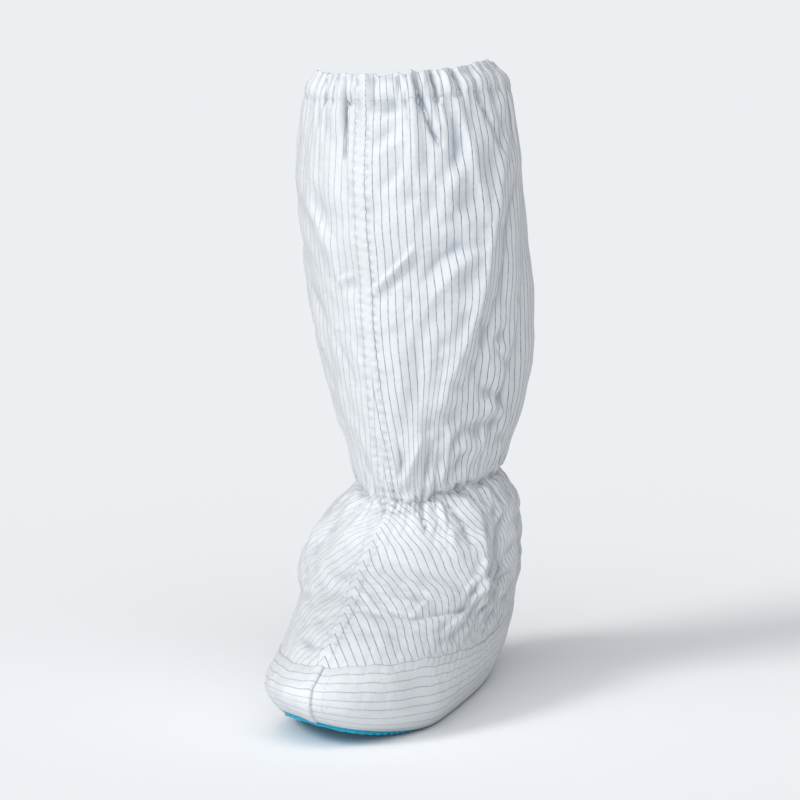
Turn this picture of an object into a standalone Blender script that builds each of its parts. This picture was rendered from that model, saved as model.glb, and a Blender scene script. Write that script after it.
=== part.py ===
import math
from collections import namedtuple

import bmesh
import bpy
import numpy as np

# Boot-height cleanroom shoe cover for the left foot, standing empty on its sole.
# The toe points to -Y, the outer side of the foot is +X, the floor is z = 0.
MM = 0.001

CLOTH_WALL = 1.0 * MM
SEAM_WIDTH = 7.5 * MM
SEAM_RISE = 0.5 * MM
HEM_RISE = 0.5 * MM
BAND_GAP = 0.5 * MM
BAND_THICKNESS = 0.8 * MM
BAND_START = 0.16
FIT_GAP = 0.3 * MM

SOLE_THICKNESS = 4.5 * MM
SOLE_MARGIN = 1.0 * MM
RIB_PITCH = 4.5 * MM
RIB_CREST = 1.6 * MM
RIB_GROOVE = 0.7 * MM
RIB_DEPTH = 1.6 * MM
ARCH_LIFT = 1.0 * MM
ARCH_FRONT = -12.0 * MM
ARCH_BACK = 52.0 * MM
INNER_SPRING = 22.0 * MM
INNER_START = -58.0 * MM
OUTER_SPRING = 0.5 * MM
OUTER_START = -100.0 * MM
SPRING_TIP = -140.0 * MM
SPRING_POWER = 1.45
SPRING_SPAN = 100.0 * MM
SPRING_STEP = 3.5 * MM
SPRING_STRIPS = 3
INSOLE_THICKNESS = 2.0 * MM
INSOLE_MARGIN = 1.0 * MM

SIDE_COLUMNS = 22
END_CROWDING = 0.35
PLAN_POINTS = 40
RING_SAMPLES = 240

# One row for each section, from the sole edge up to the collar, in millimetres and degrees.
# front and back are the section's ends on the centre plane, sway moves it sideways, twist turns
# its front towards the inner side, foot is the share of the foot plan in it, nose and tail are
# the roundness of its ends (1 is an ellipse, less is squarer), spring is the share of toe
# spring, and saddle lifts its sides above its front and back.
Section = namedtuple(
    "Section",
    "name front_y front_z back_y back_z half_width sway twist foot nose tail spring saddle rows")
SECTIONS = [
    Section("sole_edge", -138.5, 4.8, 126.0, 4.8, 41.5, -1.0, 0.0, 1.00, 0.95, 0.98, 1.0, 0.0, 2),
    Section("bulge", -151.0, 14.0, 133.0, 14.0, 50.5, -1.0, 0.0, 1.00, 0.93, 0.95, 0.7, 0.0, 2),
    Section("band_middle", -150.5, 27.0, 138.0, 27.0, 53.0, -0.5, 0.0, 1.00, 0.94, 0.89, 0.3, 0.0, 2),
    Section("band_top", -138.5, 42.0, 141.0, 40.5, 53.0, 2.0, 0.0, 0.92, 1.00, 0.85, 0.0, 0.0, 2),
    Section("toe_top", -124.0, 52.5, 142.0, 51.0, 53.0, 2.0, 0.0, 0.80, 1.05, 0.85, 0.0, 0.0, 2),
    Section("toe_box", -97.0, 61.0, 142.0, 61.5, 54.5, 0.5, 0.5, 0.62, 1.05, 0.86, 0.0, 0.0, 2),
    Section("vamp_low", -63.0, 69.5, 141.0, 72.5, 57.0, -3.5, 1.5, 0.42, 1.02, 0.87, 0.0, 0.0, 2),
    Section("vamp_high", -35.0, 78.5, 138.0, 84.5, 57.0, -7.0, 3.0, 0.24, 0.94, 0.89, 0.0, 0.0, 2),
    Section("instep", -14.0, 89.5, 129.0, 96.5, 54.5, -7.0, 4.0, 0.10, 0.86, 0.91, 0.0, 0.0, 2),
    Section("instep_top", -5.0, 99.0, 120.0, 107.5, 50.5, -3.0, 5.0, 0.00, 0.86, 0.95, 0.0, 1.0, 2),
    Section("ankle_low", -2.0, 106.5, 114.0, 115.5, 43.0, -0.5, 6.0, 0.00, 0.93, 0.97, 0.0, 2.0, 1),
    Section("ankle", -2.0, 112.5, 111.0, 123.0, 36.5, 1.5, 7.0, 0.00, 1.00, 1.00, 0.0, 2.5, 1),
    Section("ankle_high", -6.0, 121.0, 114.0, 131.0, 38.5, 2.0, 7.5, 0.00, 1.00, 1.00, 0.0, 2.0, 2),
    Section("calf_low", -13.0, 148.5, 122.0, 155.5, 47.0, 1.7, 8.0, 0.00, 1.00, 1.00, 0.0, 1.0, 2),
    Section("calf", -19.5, 178.5, 126.0, 181.5, 54.5, 1.0, 8.5, 0.00, 1.00, 0.97, 0.0, 0.0, 2),
    Section("calf_full", -22.5, 206.5, 121.0, 207.5, 59.5, -0.7, 8.5, 0.00, 1.00, 0.97, 0.0, 0.0, 2),
    Section("shaft_middle", -25.0, 234.5, 113.0, 234.5, 62.5, -2.3, 8.0, 0.00, 1.00, 0.98, 0.0, 0.0, 2),
    Section("shaft", -29.0, 261.5, 107.0, 261.5, 63.5, -3.8, 7.5, 0.00, 1.00, 1.00, 0.0, 0.5, 2),
    Section("shaft_top", -31.0, 289.5, 101.0, 290.5, 64.0, -5.3, 7.0, 0.00, 1.00, 1.00, 0.0, 1.5, 3),
    Section("hem_line", -27.0, 335.5, 92.0, 339.5, 57.5, -6.2, 7.0, 0.00, 1.00, 1.00, 0.0, 3.0, 2),
    Section("collar", -26.0, 347.5, 90.0, 352.5, 50.0, -6.7, 7.0, 0.00, 1.00, 1.00, 0.0, 3.0, 0),
]
ROW_OF = {section.name: index for index, section in enumerate(SECTIONS)}

# Plan of the foot: widths of its inner and outer side against the section's half width,
# at stations from the heel end (0) to the toe end (1).
Plan = namedtuple("Plan", "station inner outer")
PLAN = [
    Plan(0.00, 0.83, 0.86),
    Plan(0.17, 0.81, 0.88),
    Plan(0.45, 0.79, 0.92),
    Plan(0.62, 0.86, 1.00),
    Plan(0.80, 0.99, 1.13),
    Plan(1.00, 1.00, 1.10),
]

# Finish of each sub-part: base colour and roughness.
Finish = namedtuple("Finish", "color roughness")
FINISHES = {
    "upper": Finish((0.84, 0.86, 0.90, 1.0), 0.75),
    "band": Finish((0.82, 0.84, 0.88, 1.0), 0.75),
    "outsole": Finish((0.01, 0.31, 0.46, 1.0), 0.55),
    "insole": Finish((0.78, 0.80, 0.83, 1.0), 0.85),
}


def clear_scene():
    for item in list(bpy.data.objects):
        bpy.data.objects.remove(item, do_unlink=True)


def new_collection(name):
    group = bpy.data.collections.new(name)
    bpy.context.scene.collection.children.link(group)
    return group


def finish_material(name):
    look = FINISHES[name]
    material = bpy.data.materials.new(name)
    material.use_nodes = True
    shader = material.node_tree.nodes["Principled BSDF"]
    shader.inputs["Base Color"].default_value = look.color
    shader.inputs["Roughness"].default_value = look.roughness
    material.diffuse_color = look.color
    return material


def smooth_rows(keys, values, at):
    """Cubic between the rows of a table that never swings past a row."""
    keys, values = np.asarray(keys, float), np.asarray(values, float)
    at = np.clip(np.atleast_1d(np.asarray(at, float)), keys[0], keys[-1])
    rise = np.diff(values, axis=0) / np.diff(keys)[:, None]
    total = rise[:-1] + rise[1:]
    same_way = rise[:-1] * rise[1:] > 0
    inner = np.where(same_way, 2 * rise[:-1] * rise[1:] / np.where(same_way, total, 1.0), 0.0)
    slope = np.concatenate([rise[:1], inner, rise[-1:]])
    low = np.clip(np.searchsorted(keys, at, side="right") - 1, 0, len(keys) - 2)
    width = (keys[low + 1] - keys[low])[:, None]
    s = (at - keys[low])[:, None] / width
    return ((2 * s ** 3 - 3 * s ** 2 + 1) * values[low]
            + (s ** 3 - 2 * s ** 2 + s) * width * slope[low]
            + (3 * s ** 2 - 2 * s ** 3) * values[low + 1]
            + (s ** 3 - s ** 2) * width * slope[low + 1])


def toe_spring(x, y):
    """Lift of the toe: one profile on the inner side, a lower one on the outer side."""
    def profile(rise, start):
        return rise * np.clip((start - y) / (start - SPRING_TIP), 0.0, 1.15) ** SPRING_POWER

    inner, outer = profile(INNER_SPRING, INNER_START), profile(OUTER_SPRING, OUTER_START)
    return inner + (outer - inner) * np.clip(0.5 + x / SPRING_SPAN, 0.0, 1.0)


def arch_lift(y):
    share = np.clip((y - ARCH_FRONT) / (ARCH_BACK - ARCH_FRONT), 0.0, 1.0)
    return ARCH_LIFT * np.sin(math.pi * share) ** 2


def ring_points(level, turn):
    """Points of the section at a level, turn running from the back (0) to the front (pi)."""
    columns = [section[1:-1] for section in SECTIONS]
    (front_y, front_z, back_y, back_z, half_width, sway, twist, foot, nose, tail, spring,
     saddle) = smooth_rows(range(len(SECTIONS)), columns, level)[0]
    along, across = np.cos(turn), np.sin(turn)
    power = tail + (nose - tail) * (1 - along) / 2
    along = np.sign(along) * np.abs(along) ** power
    across = np.sign(across) * np.abs(across) ** power
    station = (1 - along) / 2
    plan = smooth_rows([row.station for row in PLAN], [row[1:] for row in PLAN], station)
    side = np.where(across > 0, plan[:, 1], plan[:, 0])
    x = half_width * across * (1 + foot * (side - 1))
    middle = (front_y + back_y) / 2
    y = back_y + (front_y - back_y) * station - middle
    z = back_z + (front_z - back_z) * station - saddle * np.cos(2 * turn)
    angle = math.radians(twist)
    points = np.stack([x * math.cos(angle) + y * math.sin(angle) + sway,
                       y * math.cos(angle) - x * math.sin(angle) + middle, z], axis=1) * MM
    points[:, 2] += spring * toe_spring(points[:, 0], points[:, 1])
    return points


def half_ring(level, outer_side):
    """Dense half section from the back seam to the front seam, with its running length."""
    turn = np.linspace(0.0, math.pi, RING_SAMPLES)
    points = ring_points(level, turn if outer_side else -turn)
    length = np.concatenate([[0.0], np.cumsum(np.linalg.norm(np.diff(points, axis=0), axis=1))])
    return points, length


def place_on(points, length, distance):
    return np.stack([np.interp(distance, length, points[:, axis]) for axis in range(3)], axis=1)


def side_distances(total):
    """Column places on half a section, closer at its ends, with the edge of the front seam."""
    even = np.linspace(0.0, 1.0, SIDE_COLUMNS - 2)
    even -= END_CROWDING * np.sin(2 * math.pi * even) / (2 * math.pi)
    even *= total - 1.4 * SEAM_WIDTH
    return np.concatenate([even, [total - 0.68 * SEAM_WIDTH, total - 0.5 * SEAM_WIDTH, total]])


def form_ring(level):
    """Column points right round: back seam, outer side, front seam, inner side."""
    outer, outer_length = half_ring(level, True)
    inner, inner_length = half_ring(level, False)
    outer = place_on(outer, outer_length, side_distances(outer_length[-1]))
    inner = place_on(inner, inner_length, side_distances(inner_length[-1]))
    return np.concatenate([outer, inner[-2:0:-1]])


def seam_columns():
    """Height share of the front seam on each column."""
    share = np.zeros(2 * SIDE_COLUMNS)
    share[SIDE_COLUMNS - 1:SIDE_COLUMNS + 2] = 1.0
    return share


def form_normals(grid):
    around = np.roll(grid, -1, axis=1) - np.roll(grid, 1, axis=1)
    upward = np.gradient(grid, axis=0)
    normal = np.cross(upward, around)
    return normal / np.linalg.norm(normal, axis=2, keepdims=True)


def row_levels(first, last, rows=None):
    """Level numbers between two named sections, with the rows that each section asks for."""
    levels = []
    for index in range(ROW_OF[first], ROW_OF[last]):
        count = rows or SECTIONS[index].rows
        levels += [index + step / count for step in range(count)]
    return levels + [ROW_OF[last]]


def mesh_object(name, points, faces, group, material=None):
    mesh = bpy.data.meshes.new(name)
    build = bmesh.new()
    corners = [build.verts.new(point) for point in points]
    for face in faces:
        build.faces.new([corners[index] for index in face])
    bmesh.ops.recalc_face_normals(build, faces=build.faces)
    build.to_mesh(mesh)
    build.free()
    item = bpy.data.objects.new(name, mesh)
    group.objects.link(item)
    if material:
        mesh.materials.append(material)
    return item


def shell_faces(rows, columns, closed):
    """Faces of a wall between an outer and an inner grid of the same size, with its rims."""
    def outer(row, column):
        return row * columns + column % columns

    def inner(row, column):
        return rows * columns + outer(row, column)

    faces = []
    for column in range(columns if closed else columns - 1):
        following = column + 1
        for row in range(rows - 1):
            faces.append((outer(row, column), outer(row, following),
                          outer(row + 1, following), outer(row + 1, column)))
            faces.append((inner(row, column), inner(row + 1, column),
                          inner(row + 1, following), inner(row, following)))
        for row in (0, rows - 1):
            faces.append((outer(row, column), inner(row, column),
                          inner(row, following), outer(row, following)))
    if not closed:
        for column in (0, columns - 1):
            for row in range(rows - 1):
                faces.append((outer(row, column), outer(row + 1, column),
                              inner(row + 1, column), inner(row, column)))
    return faces


def add_upper(group):
    """Hollow cloth upper: one wall from the sole edge to the collar, with seam and hem steps."""
    hem = ROW_OF["hem_line"]
    levels = [level for level in row_levels("sole_edge", "collar") if level != hem]
    levels = sorted(levels + [hem - 0.02, hem + 0.04])
    grid = np.array([form_ring(level) for level in levels])
    normals = form_normals(grid)
    band_top = ROW_OF["band_top"]
    rise = np.zeros(grid.shape[:2])
    for row, level in enumerate(levels):
        if level > band_top:
            rise[row] = SEAM_RISE * seam_columns()
        if level > hem:
            rise[row] = np.maximum(rise[row], HEM_RISE)
    outer = grid + normals * rise[:, :, None]
    inner = grid - normals * CLOTH_WALL
    inner[0, :, 2] = grid[0, :, 2]
    points = np.concatenate([outer.reshape(-1, 3), inner.reshape(-1, 3)])
    faces = shell_faces(len(levels), grid.shape[1], True)
    return mesh_object("upper", points, faces, group, finish_material("upper"))


def add_band(group):
    """Cloth band round the foot, laid on the upper's own form, its ends meeting at the toe."""
    levels = row_levels("sole_edge", "band_top")
    levels[0] += BAND_START
    grid = np.array([form_ring(level) for level in levels + [levels[-1] + 0.5]])
    normals = form_normals(grid)[:-1]
    grid = grid[:-1]
    start = SIDE_COLUMNS
    order = [(start + step) % (2 * SIDE_COLUMNS) for step in range(2 * SIDE_COLUMNS)] + [start]
    grid, normals = grid[:, order], normals[:, order]
    for column, way in ((0, 1), (-1, -1)):
        along = grid[:, column + way] - grid[:, column]
        along /= np.linalg.norm(along, axis=1, keepdims=True)
        grid[:, column] += along * FIT_GAP
    near = grid + normals * BAND_GAP
    far = grid + normals * (BAND_GAP + BAND_THICKNESS)
    points = np.concatenate([far.reshape(-1, 3), near.reshape(-1, 3)])
    faces = shell_faces(len(levels), len(order), False)
    return mesh_object("band", points, faces, group, finish_material("band"))


def foot_plan(margin):
    """Outline of the sole edge, moved outwards by a margin."""
    outer, inner = (half_ring(ROW_OF["sole_edge"], side) for side in (True, False))
    outer = place_on(*outer, np.linspace(0.0, outer[1][-1], PLAN_POINTS + 1))
    inner = place_on(*inner, np.linspace(0.0, inner[1][-1], PLAN_POINTS + 1))
    ring = np.concatenate([outer, inner[-2:0:-1]])[:, :2]
    along = np.roll(ring, -1, axis=0) - np.roll(ring, 1, axis=0)
    outward = np.stack([along[:, 1], -along[:, 0]], axis=1)
    if np.sum(outward * (ring - ring.mean(axis=0))) < 0:
        outward = -outward
    return ring + margin * outward / np.linalg.norm(outward, axis=1, keepdims=True)


def drawn_out(name, layers, group, material=None):
    """Solid between equal outlines, one after the other."""
    count = len(layers[0])
    last = (len(layers) - 1) * count
    points = [point for layer in layers for point in layer]
    faces = [tuple(range(count)), tuple(range(last + count - 1, last - 1, -1))]
    for first in range(0, last, count):
        for index in range(count):
            following = (index + 1) % count
            faces.append((first + index, first + following,
                          first + count + following, first + count + index))
    return mesh_object(name, points, faces, group, material)


def sprung_slab(name, profile, group):
    """Side profile drawn out across the foot, lifted at the toe."""
    stations = np.linspace(-SPRING_SPAN / 2, SPRING_SPAN / 2, SPRING_STRIPS + 1)
    layers = [[(x, y, z + float(toe_spring(x, y))) for y, z in profile] for x in stations]
    return drawn_out(name, layers, group, finish_material(name))


def trim_to_plan(item, margin, cutters):
    outline = foot_plan(margin)
    layers = [[(x, y, z) for x, y in outline] for z in (-20 * MM, 60 * MM)]
    cutter = drawn_out(item.name + "_plan", layers, cutters)
    cutter.display_type = "WIRE"
    cutter.hide_render = True
    trim = item.modifiers.new("plan", "BOOLEAN")
    trim.operation = "INTERSECT"
    trim.solver = "EXACT"
    trim.object = cutter


def bend_stations(front, back):
    """Stations along the foot, close together only where the toe turns up."""
    steps = int(math.ceil((INNER_START - front) / SPRING_STEP))
    return np.concatenate([INNER_START - SPRING_STEP * np.arange(steps, -1, -1), [back]])


def rib_line(front, back):
    """Underside from heel to toe: cross ribs with flat crests and narrow grooves."""
    line = []
    flank = (RIB_PITCH - RIB_CREST - RIB_GROOVE) / 2
    for index in range(int((back - front) / RIB_PITCH) + 1):
        start = back - index * RIB_PITCH
        middle = start - RIB_CREST / 2
        crest = arch_lift(middle)
        for y, depth in ((start, 0.0), (start - RIB_CREST, 0.0),
                         (start - RIB_CREST - flank, RIB_DEPTH),
                         (start - RIB_CREST - flank - RIB_GROOVE, RIB_DEPTH)):
            line.append((y, crest + depth))
    return line


def add_outsole(group, cutters):
    """Rubber sole: side profile with arch, toe spring and cross ribs, trimmed to the foot plan."""
    outline = foot_plan(SOLE_MARGIN)
    front, back = outline[:, 1].min() - 4 * MM, outline[:, 1].max() + 4 * MM
    under = rib_line(front, back)
    over = [(y, SOLE_THICKNESS) for y in bend_stations(under[-1][0], under[0][0])]
    item = sprung_slab("outsole", under + over, group)
    trim_to_plan(item, SOLE_MARGIN, cutters)
    return item


def add_insole(group, cutters):
    """Flat inner sole lying on the rubber, inside the upper's foot edge."""
    outline = foot_plan(-CLOTH_WALL - INSOLE_MARGIN)
    front, back = outline[:, 1].min() - 4 * MM, outline[:, 1].max() + 4 * MM
    stations = bend_stations(front, back)
    base = SOLE_THICKNESS + FIT_GAP
    under = [(y, base) for y in stations[::-1]]
    over = [(y, base + INSOLE_THICKNESS) for y in stations]
    item = sprung_slab("insole", under + over, group)
    trim_to_plan(item, -CLOTH_WALL - INSOLE_MARGIN, cutters)
    return item


def centre_on_floor(parts, cutters, group):
    """Hang every part on one frame, so that the middle of the whole stands over the origin."""
    points = np.array([corner.co for item in parts for corner in item.data.vertices])
    frame = bpy.data.objects.new("shoe_frame", None)
    group.objects.link(frame)
    middle = (points.min(axis=0) + points.max(axis=0)) / 2
    frame.location = (-middle[0], -middle[1], 0.0)
    for item in list(cutters.objects) + list(group.objects):
        if item is not frame:
            item.parent = frame


def main():
    clear_scene()
    group = new_collection("cleanroom_shoe_cover")
    cutters = new_collection("cutters")
    upper = add_upper(group)
    band = add_band(group)
    add_insole(group, cutters)
    add_outsole(group, cutters)
    centre_on_floor([upper, band], cutters, group)


main()
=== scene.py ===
import itertools
import math
from collections import namedtuple

import bpy
import numpy as np
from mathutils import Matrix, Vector


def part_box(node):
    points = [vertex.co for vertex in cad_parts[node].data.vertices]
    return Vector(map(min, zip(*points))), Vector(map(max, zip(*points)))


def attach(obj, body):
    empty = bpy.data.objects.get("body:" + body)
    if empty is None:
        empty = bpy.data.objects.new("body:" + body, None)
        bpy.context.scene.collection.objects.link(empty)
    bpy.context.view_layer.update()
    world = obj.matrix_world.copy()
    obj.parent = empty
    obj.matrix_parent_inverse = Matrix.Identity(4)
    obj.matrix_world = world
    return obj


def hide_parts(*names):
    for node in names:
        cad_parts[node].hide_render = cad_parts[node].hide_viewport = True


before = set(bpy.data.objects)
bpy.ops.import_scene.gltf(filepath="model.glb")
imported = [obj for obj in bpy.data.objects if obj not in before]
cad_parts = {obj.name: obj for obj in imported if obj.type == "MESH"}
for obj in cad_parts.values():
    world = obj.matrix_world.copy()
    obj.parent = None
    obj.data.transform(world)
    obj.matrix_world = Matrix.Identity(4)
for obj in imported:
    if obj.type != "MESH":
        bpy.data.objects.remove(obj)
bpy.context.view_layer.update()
mm = 0.001

# Sections of the foot and shaft from the sole edge to the collar, in millimetres and degrees.
# cloth is half the cut width of the cloth at that section, from the back seam to the front seam.
section = namedtuple("section", "name frontY frontZ backY backZ halfWidth sway twist foot nose tail"
                                " spring saddle cloth")
sections = [
    section("soleEdge", -138.5, 4.8, 126.0, 4.8, 41.5, -1.0, 0.0, 1.00, 0.95, 0.98, 1.0, 0.0, 334),
    section("bulge", -151.0, 14.0, 133.0, 14.0, 50.5, -1.0, 0.0, 1.00, 0.93, 0.95, 0.7, 0.0, 350),
    section("bandMiddle", -150.5, 27.0, 138.0, 27.0, 53.0, -0.5, 0.0, 1.00, 0.94, 0.89, 0.3, 0.0, 353),
    section("bandTop", -138.5, 42.0, 141.0, 40.5, 53.0, 2.0, 0.0, 0.92, 1.00, 0.85, 0.0, 0.0, 344),
    section("toeTop", -124.0, 52.5, 142.0, 51.0, 53.0, 2.0, 0.0, 0.80, 1.05, 0.85, 0.0, 0.0, 334),
    section("toeBox", -97.0, 61.0, 142.0, 61.5, 54.5, 0.5, 0.5, 0.62, 1.05, 0.86, 0.0, 0.0, 322),
    section("vampLow", -63.0, 69.5, 141.0, 72.5, 57.0, -3.5, 1.5, 0.42, 1.02, 0.87, 0.0, 0.0, 307),
    section("vampHigh", -35.0, 78.5, 138.0, 84.5, 57.0, -7.0, 3.0, 0.24, 0.94, 0.89, 0.0, 0.0, 293),
    section("instep", -14.0, 89.5, 129.0, 96.5, 54.5, -7.0, 4.0, 0.10, 0.86, 0.91, 0.0, 0.0, 281),
    section("instepTop", -5.0, 99.0, 120.0, 107.5, 50.5, -3.0, 5.0, 0.00, 0.86, 0.95, 0.0, 1.0, 267),
    section("ankleLow", -2.0, 106.5, 114.0, 115.5, 43.0, -0.5, 6.0, 0.00, 0.93, 0.97, 0.0, 2.0, 254),
    section("ankle", -2.0, 112.5, 111.0, 123.0, 36.5, 1.5, 7.0, 0.00, 1.00, 1.00, 0.0, 2.5, 246),
    section("ankleHigh", -6.0, 121.0, 114.0, 131.0, 38.5, 2.0, 7.5, 0.00, 1.00, 1.00, 0.0, 2.0, 242),
    section("calfLow", -13.0, 148.5, 122.0, 155.5, 47.0, 1.7, 8.0, 0.00, 1.00, 1.00, 0.0, 1.0, 238),
    section("calf", -19.5, 178.5, 126.0, 181.5, 54.5, 1.0, 8.5, 0.00, 1.00, 0.97, 0.0, 0.0, 235),
    section("calfFull", -22.5, 206.5, 121.0, 207.5, 59.5, -0.7, 8.5, 0.00, 1.00, 0.97, 0.0, 0.0, 234),
    section("shaftMiddle", -25.0, 234.5, 113.0, 234.5, 62.5, -2.3, 8.0, 0.00, 1.00, 0.98, 0.0, 0.0, 234),
    section("shaft", -29.0, 261.5, 107.0, 261.5, 63.5, -3.8, 7.5, 0.00, 1.00, 1.00, 0.0, 0.5, 234),
    section("shaftTop", -31.0, 289.5, 101.0, 290.5, 64.0, -5.3, 7.0, 0.00, 1.00, 1.00, 0.0, 1.5, 234),
    section("hemLine", -27.0, 335.5, 92.0, 339.5, 57.5, -6.2, 7.0, 0.00, 1.00, 1.00, 0.0, 3.0, 234),
    section("collar", -26.0, 347.5, 90.0, 352.5, 50.0, -6.7, 7.0, 0.00, 1.00, 1.00, 0.0, 3.0, 234),
]
levelOf = {row.name: index for index, row in enumerate(sections)}
plan = namedtuple("plan", "station inner outer")
footPlan = [
    plan(0.00, 0.83, 0.86),
    plan(0.17, 0.81, 0.88),
    plan(0.45, 0.79, 0.92),
    plan(0.62, 0.86, 1.00),
    plan(0.80, 0.99, 1.13),
    plan(1.00, 1.00, 1.10),
]
# toe spring: lift and start on each side, the tip, the limit past it, the curve, and the width of the change
toe = {"inner": 22.0 * mm, "innerStart": -58.0 * mm, "outer": 0.5 * mm, "outerStart": -100.0 * mm,
       "tip": -140.0 * mm, "limit": 1.15, "power": 1.45, "span": 100.0 * mm}


def smoothRows(keys, values, at):
    # cubic between table rows that never swings past a row
    keys, values = np.asarray(keys, float), np.asarray(values, float)
    at = np.clip(np.atleast_1d(np.asarray(at, float)), keys[0], keys[-1])
    rise = np.diff(values, axis=0) / np.diff(keys)[:, None]
    sameWay = rise[:-1] * rise[1:] > 0
    inner = np.where(sameWay, 2 * rise[:-1] * rise[1:] / np.where(sameWay, rise[:-1] + rise[1:], 1), 0)
    slope = np.concatenate([rise[:1], inner, rise[-1:]])
    low = np.clip(np.searchsorted(keys, at, side="right") - 1, 0, len(keys) - 2)
    width = (keys[low + 1] - keys[low])[:, None]
    s = (at - keys[low])[:, None] / width
    return ((2 * s ** 3 - 3 * s ** 2 + 1) * values[low] + (s ** 3 - 2 * s ** 2 + s) * width * slope[low]
            + (3 * s ** 2 - 2 * s ** 3) * values[low + 1] + (s ** 3 - s ** 2) * width * slope[low + 1])


sectionValues = np.array([row[1:] for row in sections], float)
sectionHeights = (sectionValues[:, 1] + sectionValues[:, 3]) / 2
lastLevel = len(sections) - 1
halfRingPoints = 260


def sectionAt(level):
    # the section table, read between its rows
    return section("", *smoothRows(range(len(sections)), sectionValues, level)[0])


def toeSpring(x, y):
    # lift of the toe: one profile on the inner side, a lower one on the outer side
    lifts = []
    for side in ("inner", "outer"):
        start = toe[side + "Start"]
        share = np.clip((start - y) / (start - toe["tip"]), 0, toe["limit"])
        lifts.append(toe[side] * share ** toe["power"])
    return lifts[0] + (lifts[1] - lifts[0]) * np.clip(0.5 + x / toe["span"], 0, 1)


def ringPoints(level, turn):
    # turn runs from the back seam (0) to the front seam (pi), outer side positive
    row = sectionAt(level)
    along, across = np.cos(turn), np.sin(turn)
    power = row.tail + (row.nose - row.tail) * (1 - along) / 2
    along = np.sign(along) * np.abs(along) ** power
    across = np.sign(across) * np.abs(across) ** power
    station = (1 - along) / 2
    sides = smoothRows([stop.station for stop in footPlan], [stop[1:] for stop in footPlan], station)
    side = np.where(across > 0, sides[:, 1], sides[:, 0])
    x = row.halfWidth * across * (1 + row.foot * (side - 1))
    middle = (row.frontY + row.backY) / 2
    y = row.backY + (row.frontY - row.backY) * station - middle
    z = row.backZ + (row.frontZ - row.backZ) * station - row.saddle * np.cos(2 * turn)
    angle = math.radians(row.twist)
    points = np.stack([x * math.cos(angle) + y * math.sin(angle) + row.sway,
                       y * math.cos(angle) - x * math.sin(angle) + middle, z], axis=1) * mm
    points[:, 2] += row.spring * toeSpring(points[:, 0], points[:, 1])
    return points


def runAlong(line):
    # distance from the line's start to each of its points
    return np.concatenate([[0], np.cumsum(np.linalg.norm(np.diff(line, axis=0), axis=1))])


def halfRing(level, way):
    points = ringPoints(level, way * np.linspace(0, math.pi, halfRingPoints))
    return points, runAlong(points)


def placeOn(points, length, distance):
    return np.stack([np.interp(distance, length, points[:, axis]) for axis in range(3)], axis=1)


def smoothStep(low, high, value):
    share = np.clip((value - low) / (high - low), 0, 1)
    return share * share * (3 - 2 * share)


def plateau(value, start, full, fading, end):
    # 0 up to the start, 1 from full to fading, 0 after the end
    return smoothStep(start, full, value) * (1 - smoothStep(fading, end, value))


def bell(value, width):
    return np.exp(-(value / width) ** 2)


def levelAt(height):
    return float(np.interp(height, sectionHeights, np.arange(len(sections))))


def unit(vectors):
    return vectors / np.maximum(np.linalg.norm(vectors, axis=-1, keepdims=True), 1e-12)


# The solid's own form gives the shift from the section table to the row frame.
upperLow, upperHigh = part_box("upper")
tableRings = np.concatenate([ringPoints(level, np.linspace(0, 2 * math.pi, 400))
                             for level in np.linspace(0, lastLevel, 300)])
shift = (np.array(upperLow) + np.array(upperHigh)) / 2 - (tableRings.min(axis=0) + tableRings.max(axis=0)) / 2
shift[2] = 0
print("form shift mm", (shift / mm).round(2))

# Cloth upper, in millimetres
upperCloth = {
    "sideColumns": 160,        # columns on each side of the cloth
    "crowding": 0.14,          # how far columns move to the front, which has the finer folds
    "rowStep": 1.7,            # between rows, mean of front and side
    "ankleRows": 1.3,          # share of further rows at the ankle's elastic
    "skew": 15,                # how far the cloth behind the long ridge is pulled to the front
    "wall": 0.9,
    "hemWall": 2.4,
    "seamWidth": 8.0,
    "seamRise": 0.5,
    "seamBeat": 0.6,           # ripples beside the front seam's stitches
    "hemRise": 0.45,
    "hemRoll": 0.6,            # round of the elastic in the hem
    "hemDip": 0.55,            # drawn in by the hem's stitches
    "rimDip": 1.2,
    "ankleDip": 1.0,           # drawn in by the ankle's elastic
    "ankleLine": 3.2,          # depth of the crisp line in that groove
    "ankleFill": 3.2,          # the front seam, which runs straight over the ankle
    "backDip": 0.7,
    "backRise": 0.25,
    "bandPucker": 1.3,
    "bandDip": 0.9,            # how far the cloth lies back under the band
    "cornerDip": 5.5,          # how far the band's top edge sinks at the outer corner
}
# columns that keep their distance from the front and back seams
seamColumns = np.array([0.0, 1.2, 2.2, 3.0, 3.5, 3.9, 4.4, 5.4, 6.8])
# the long ridge on the outer side of the shaft: heights, and distances round from the front seam
ridgeHeights = [128, 159, 191, 230, 270, 313]
ridgePlaces = [18, 31, 48, 66, 77, 95]


def columnDistances(total):
    locked = seamColumns * mm
    even = np.linspace(0, 1, upperCloth["sideColumns"] + 3 - 2 * len(seamColumns))[1:-1]
    even += upperCloth["crowding"] * np.sin(math.pi * even)
    middle = locked[-1] + (total - 2 * locked[-1]) * even
    return np.concatenate([locked, middle, total - locked[::-1]])


def clothRows():
    # levels so spaced that rows lie about rowStep apart on the cloth, closer at the ankle's elastic
    fine = np.linspace(0, lastLevel, 1200)
    step = 0
    for turn in (math.pi, math.pi / 2):
        line = np.array([ringPoints(level, np.array([turn]))[0] for level in fine])
        step = step + np.linalg.norm(np.diff(line, axis=0), axis=1) / 2
    step *= 1 + upperCloth["ankleRows"] * bell(fine[1:] - levelOf["ankle"], 0.7)
    run = np.concatenate([[0], np.cumsum(step)]) / mm
    count = int(run[-1] / upperCloth["rowStep"])
    return np.interp(np.linspace(0, run[-1], count), run, fine)


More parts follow.
